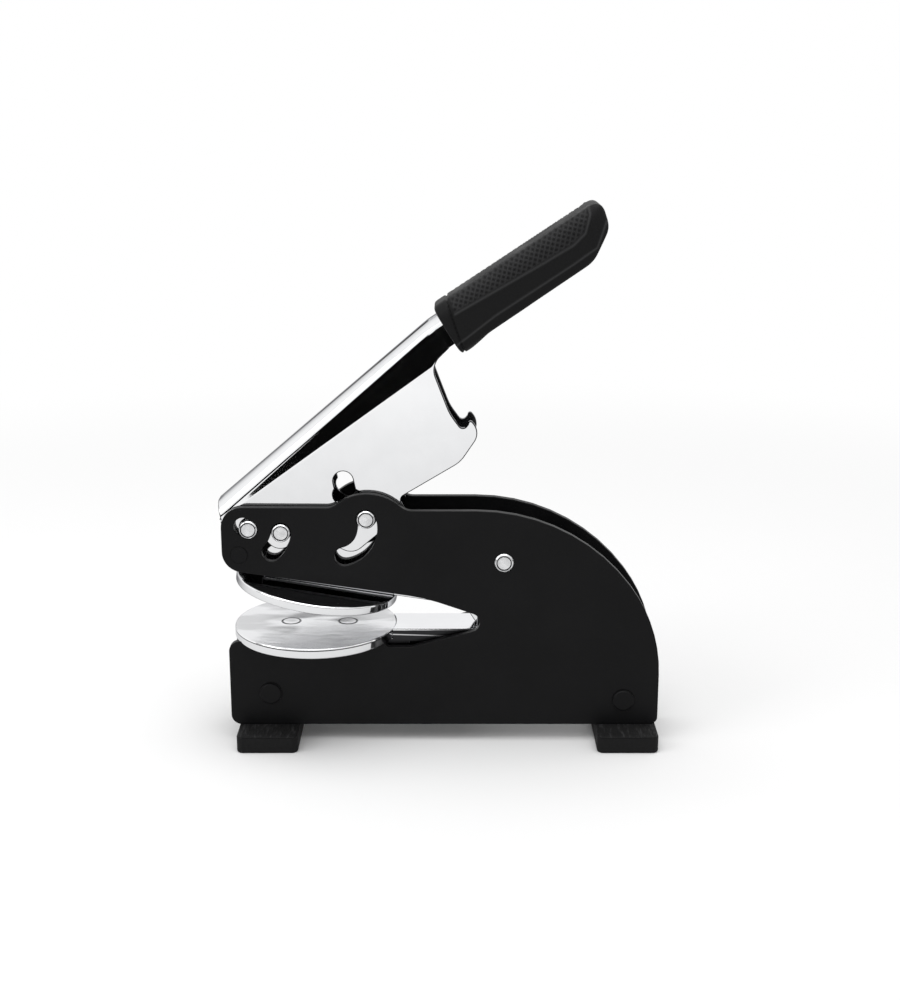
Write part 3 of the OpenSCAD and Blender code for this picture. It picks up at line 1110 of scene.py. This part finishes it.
def grip_relief(t, y, m, pitch):
    """Height in millimetres of the grip's moulded relief at (t, y, m), and how much
    lighter the place is painted, for wear and as a highlight on its ridges."""
    side = eased(abs(y), *RELIEF_SIDE)
    behind_collar = t - COLLAR_LEAN * m - COLLAR_END
    groove = ridge(behind_collar, LINE_HALF)
    edge = near_line(PANEL_EDGE, t, m)
    inside = eased(edge, *HATCH_FROM_EDGE) * eased(behind_collar, *HATCH_FROM_COLLAR)
    inside *= side
    border = ridge(edge, LINE_HALF) * eased(behind_collar, *BORDER_FROM_COLLAR) * side
    seam = ridge(near_line(GRIP_SEAM, t, m), SEAM_HALF) * side
    up, down = (t + m) / math.sqrt(2.0), (t - m) / math.sqrt(2.0)
    hatch = max(
        0.5 + 0.5 * math.cos(2.0 * math.pi * up / pitch),
        0.5 + 0.5 * math.cos(2.0 * math.pi * down / pitch),
    )
    hatch = eased(hatch, 0.35, 1.0) * inside
    height = HATCH_RISE * hatch - HATCH_RISE * inside - GROOVE_DEPTH * groove
    height += BORDER_RISE * border + SEAM_RISE * seam
    return height, min(hatch * HATCH_WEAR_AND_HIGHLIGHT + border * LINE_WEAR_AND_HIGHLIGHT + seam * LINE_WEAR_AND_HIGHLIGHT, 1.0)


class EMBOSSER_OT_grip(bpy.types.Operator):
    """Mould the rubber grip: soft edges, collar, hatched panels and seam"""

    bl_idname = "embosser.grip"
    bl_label = "Grip"

    def execute(self, context):
        scene = context.scene
        rubber = finish_named("grip rubber", grip_rubber, scene.embosser_colours.rubber)
        axes = tail_axes()
        bm = copy_of("lever_grip")
        bmesh.ops.transform(bm, matrix=axes.inverted(), verts=bm.verts)
        self.fill(bm)
        bm = self.remeshed(bm, GRIP_GRAIN * MM)
        for _ in range(GRIP_SMOOTHING):
            bmesh.ops.smooth_vert(
                bm,
                verts=bm.verts,
                factor=0.5,
                use_axis_x=True,
                use_axis_y=True,
                use_axis_z=True,
            )
        self.mould(bm, scene.embosser_sizes.hatch_pitch)
        bmesh.ops.transform(bm, matrix=axes, verts=bm.verts)
        piece(
            "lever_grip_finished",
            bm,
            [rubber],
            "lever",
            ["lever_grip"],
            smooth_degrees=80.0,
        )
        return {"FINISHED"}

    def fill(self, bm):
        """Closes the grip's hollow, which the tang fills, flush with its front end."""
        half_width, low, high, end = (x * MM for x in GRIP_HOLLOW)
        hollow = [
            v
            for v in bm.verts
            if abs(v.co.y) < half_width and low < v.co.z < high and v.co.x < end
        ]
        bmesh.ops.delete(bm, geom=hollow, context="VERTS")
        bmesh.ops.holes_fill(bm, edges=[e for e in bm.edges if e.is_boundary], sides=0)

    def remeshed(self, bm, grain):
        """The same solid as an even mesh of small faces."""
        mesh = bpy.data.meshes.new("grip blank")
        bm.to_mesh(mesh)
        bm.free()
        blank = bpy.data.objects.new("grip blank", mesh)
        bpy.context.scene.collection.objects.link(blank)
        remesh = blank.modifiers.new("even", "REMESH")
        remesh.mode = "VOXEL"
        remesh.voxel_size = grain
        bpy.context.view_layer.update()
        graph = bpy.context.evaluated_depsgraph_get()
        even = bmesh.new()
        even.from_mesh(blank.evaluated_get(graph).to_mesh())
        bpy.data.objects.remove(blank)
        bpy.data.meshes.remove(mesh)
        return even

    def mould(self, bm, pitch):
        """Raises and sinks the relief, and notes for the finish where it is painted
        lighter, for wear and as a highlight.
        """
        wear_and_painted_highlight = bm.verts.layers.float.new(RELIEF)
        bm.normal_update()
        moves = []
        for v in bm.verts:
            t, y, m = (c / MM for c in v.co)
            height, light = grip_relief(t, y, m, pitch)
            v[wear_and_painted_highlight] = light
            moves.append(v.normal * (height * MM))
        for v, move in zip(bm.verts, moves):
            v.co += move


class EMBOSSER_OT_stage(bpy.types.Operator):
    """Set up the camera, the white floor, the dark cards, the lamps and the room"""

    bl_idname = "embosser.stage"
    bl_label = "Stage"

    def execute(self, context):
        settings = context.scene.embosser_stage
        self.camera(context)
        self.floor(context, settings)
        self.cards(context)
        self.lamps(context, settings)
        self.room(context, settings)
        context.scene.view_settings.view_transform = "Standard"
        return {"FINISHED"}

    def camera(self, context):
        """The view of the near side, from a little above."""
        data = bpy.data.cameras.new("camera")
        data.lens = CAMERA_LENS
        data.sensor_width = CAMERA_SENSOR
        data.clip_start, data.clip_end = CAMERA_CLIP
        camera = bpy.data.objects.new("camera", data)
        camera.location = CAMERA_PLACE
        camera.rotation_euler = (CAMERA_TILT, 0.0, 0.0)
        context.scene.collection.objects.link(camera)
        context.scene.camera = camera

    def slab(self, context, name, size, place, turn, material):
        """A flat rectangle of the stage."""
        bm = bmesh.new()
        bmesh.ops.create_grid(bm, x_segments=1, y_segments=1, size=0.5)
        bmesh.ops.scale(bm, vec=(*size, 1.0), verts=bm.verts)
        placed = Matrix.Translation(place) @ turn
        bmesh.ops.transform(bm, matrix=placed, verts=bm.verts)
        mesh = bpy.data.meshes.new(name)
        bm.to_mesh(mesh)
        bm.free()
        mesh.materials.append(material)
        obj = bpy.data.objects.new(name, mesh)
        context.scene.collection.objects.link(obj)
        return obj

    def floor(self, context, settings):
        """White paper that keeps the shadow near the machine and ends in plain white."""
        f = Finish("white floor")
        seen = self.seen_rays(f)
        camera = f.node("ShaderNodeLightPath", out="Is Camera Ray")
        paper = f.node(
            "ShaderNodeBsdfPrincipled",
            None,
            {
                "Base Color": f.two_tone(camera, *FLOOR_TONES),
                "Roughness": 1.0,
                "Specular IOR Level": 0.0,
                "Emission Color": f.two_tone(
                    seen, (0.0, 0.0, 0.0), (settings.floor_lift,) * 3
                ),
                "Emission Strength": 1.0,
            },
        )
        white = f.node(
            "ShaderNodeEmission", None, {"Color": (1.0, 1.0, 1.0, 1.0), "Strength": 1.0}
        )
        plain = seen * f.length(f.coords()).step(*FLOOR_FADE)
        shader = f.node("ShaderNodeMixShader", None, {0: plain, 1: paper, 2: white})
        f.node("ShaderNodeOutputMaterial", None, {"Surface": shader})
        size = (FLOOR_WIDTH, FLOOR_WIDTH)
        self.slab(context, "floor", size, Vector(), Matrix.Identity(4), f.material)

    def seen_rays(self, f):
        """1 for the camera's own rays and for those that mirrors and glass pass on."""
        camera, glossy, through = (
            f.node("ShaderNodeLightPath", out=name)
            for name in ("Is Camera Ray", "Is Glossy Ray", "Is Transmission Ray")
        )
        return (camera + glossy + through).at_most(1.0)

    def cards(self, context):
        """Dark cards in front of the machine, which only mirrors show."""
        f = Finish("dark card")
        card = f.surface(
            Base_Color=(0.004, 0.004, 0.004, 1.0), Roughness=1.0, Specular_IOR_Level=0.0
        )
        upright = Matrix.Rotation(math.radians(90.0), 4, "X")
        for name, width, x, y, angle in CARDS:
            turn = Matrix.Rotation(math.radians(-angle), 4, "Z") @ upright
            size = (width, CARD_HEIGHT)
            place = Vector((x, y, CARD_HEIGHT / 2.0))
            obj = self.slab(context, name, size, place, turn, card)
            obj.visible_camera = False
            obj.visible_diffuse = False
            obj.visible_shadow = False

    def lamps(self, context, settings):
        """Square softboxes above the machine and to its left."""
        for name, size, power, place, aim in LAMPS:
            data = bpy.data.lights.new(name, "AREA")
            data.shape = "SQUARE"
            data.size = size
            data.energy = settings.lamp_power * power
            lamp = bpy.data.objects.new(name, data)
            lamp.location = place
            aimed = Vector(aim) - Vector(place)
            lamp.rotation_euler = aimed.to_track_quat("-Z", "Y").to_euler()
            context.scene.collection.objects.link(lamp)

    def room(self, context, settings):
        """White all round, which lights the machine less than it is seen."""
        world = bpy.data.worlds.new("white room")
        context.scene.world = world
        f = Finish("white room", world)
        seen = self.seen_rays(f)
        light = f.node(
            "ShaderNodeBackground",
            None,
            {
                "Color": (1.0, 1.0, 1.0, 1.0),
                "Strength": seen * (1.0 - settings.room_light) + settings.room_light,
            },
        )
        f.node("ShaderNodeOutputWorld", None, {"Surface": light})


class EMBOSSER_PT_panel(bpy.types.Panel):
    """The embosser's settings and pieces"""

    bl_label = "Seal embosser"
    bl_idname = "EMBOSSER_PT_panel"
    bl_space_type = "VIEW_3D"
    bl_region_type = "UI"
    bl_category = "Embosser"

    def draw(self, context):
        layout = self.layout
        for settings in (
            context.scene.embosser_colours,
            context.scene.embosser_sizes,
            context.scene.embosser_stage,
        ):
            box = layout.box()
            for key in settings.bl_rna.properties.keys():
                if key not in ("rna_type", "name"):
                    box.prop(settings, key)
        for operator in OPERATORS:
            layout.operator(operator.bl_idname)


OPERATORS = (
    EMBOSSER_OT_stage,
    EMBOSSER_OT_side_plates,
    EMBOSSER_OT_rivets,
    EMBOSSER_OT_pins,
    EMBOSSER_OT_feet,
    EMBOSSER_OT_lower_jaw,
    EMBOSSER_OT_upper_jaw,
    EMBOSSER_OT_jaw_spring,
    EMBOSSER_OT_lever,
    EMBOSSER_OT_grip,
)
GROUPS = (EmbosserColours, EmbosserSizes, EmbosserStage)


def register():
    for cls in (*GROUPS, *OPERATORS, EMBOSSER_PT_panel):
        bpy.utils.register_class(cls)
    bpy.types.Scene.embosser_colours = PointerProperty(type=EmbosserColours)
    bpy.types.Scene.embosser_sizes = PointerProperty(type=EmbosserSizes)
    bpy.types.Scene.embosser_stage = PointerProperty(type=EmbosserStage)


def unregister():
    del bpy.types.Scene.embosser_stage
    del bpy.types.Scene.embosser_sizes
    del bpy.types.Scene.embosser_colours
    for cls in reversed((*GROUPS, *OPERATORS, EMBOSSER_PT_panel)):
        bpy.utils.unregister_class(cls)


def main():
    register()
    for operator in OPERATORS:
        group, name = operator.bl_idname.split(".")
        getattr(getattr(bpy.ops, group), name)()


if __name__ == "__main__":
    main()
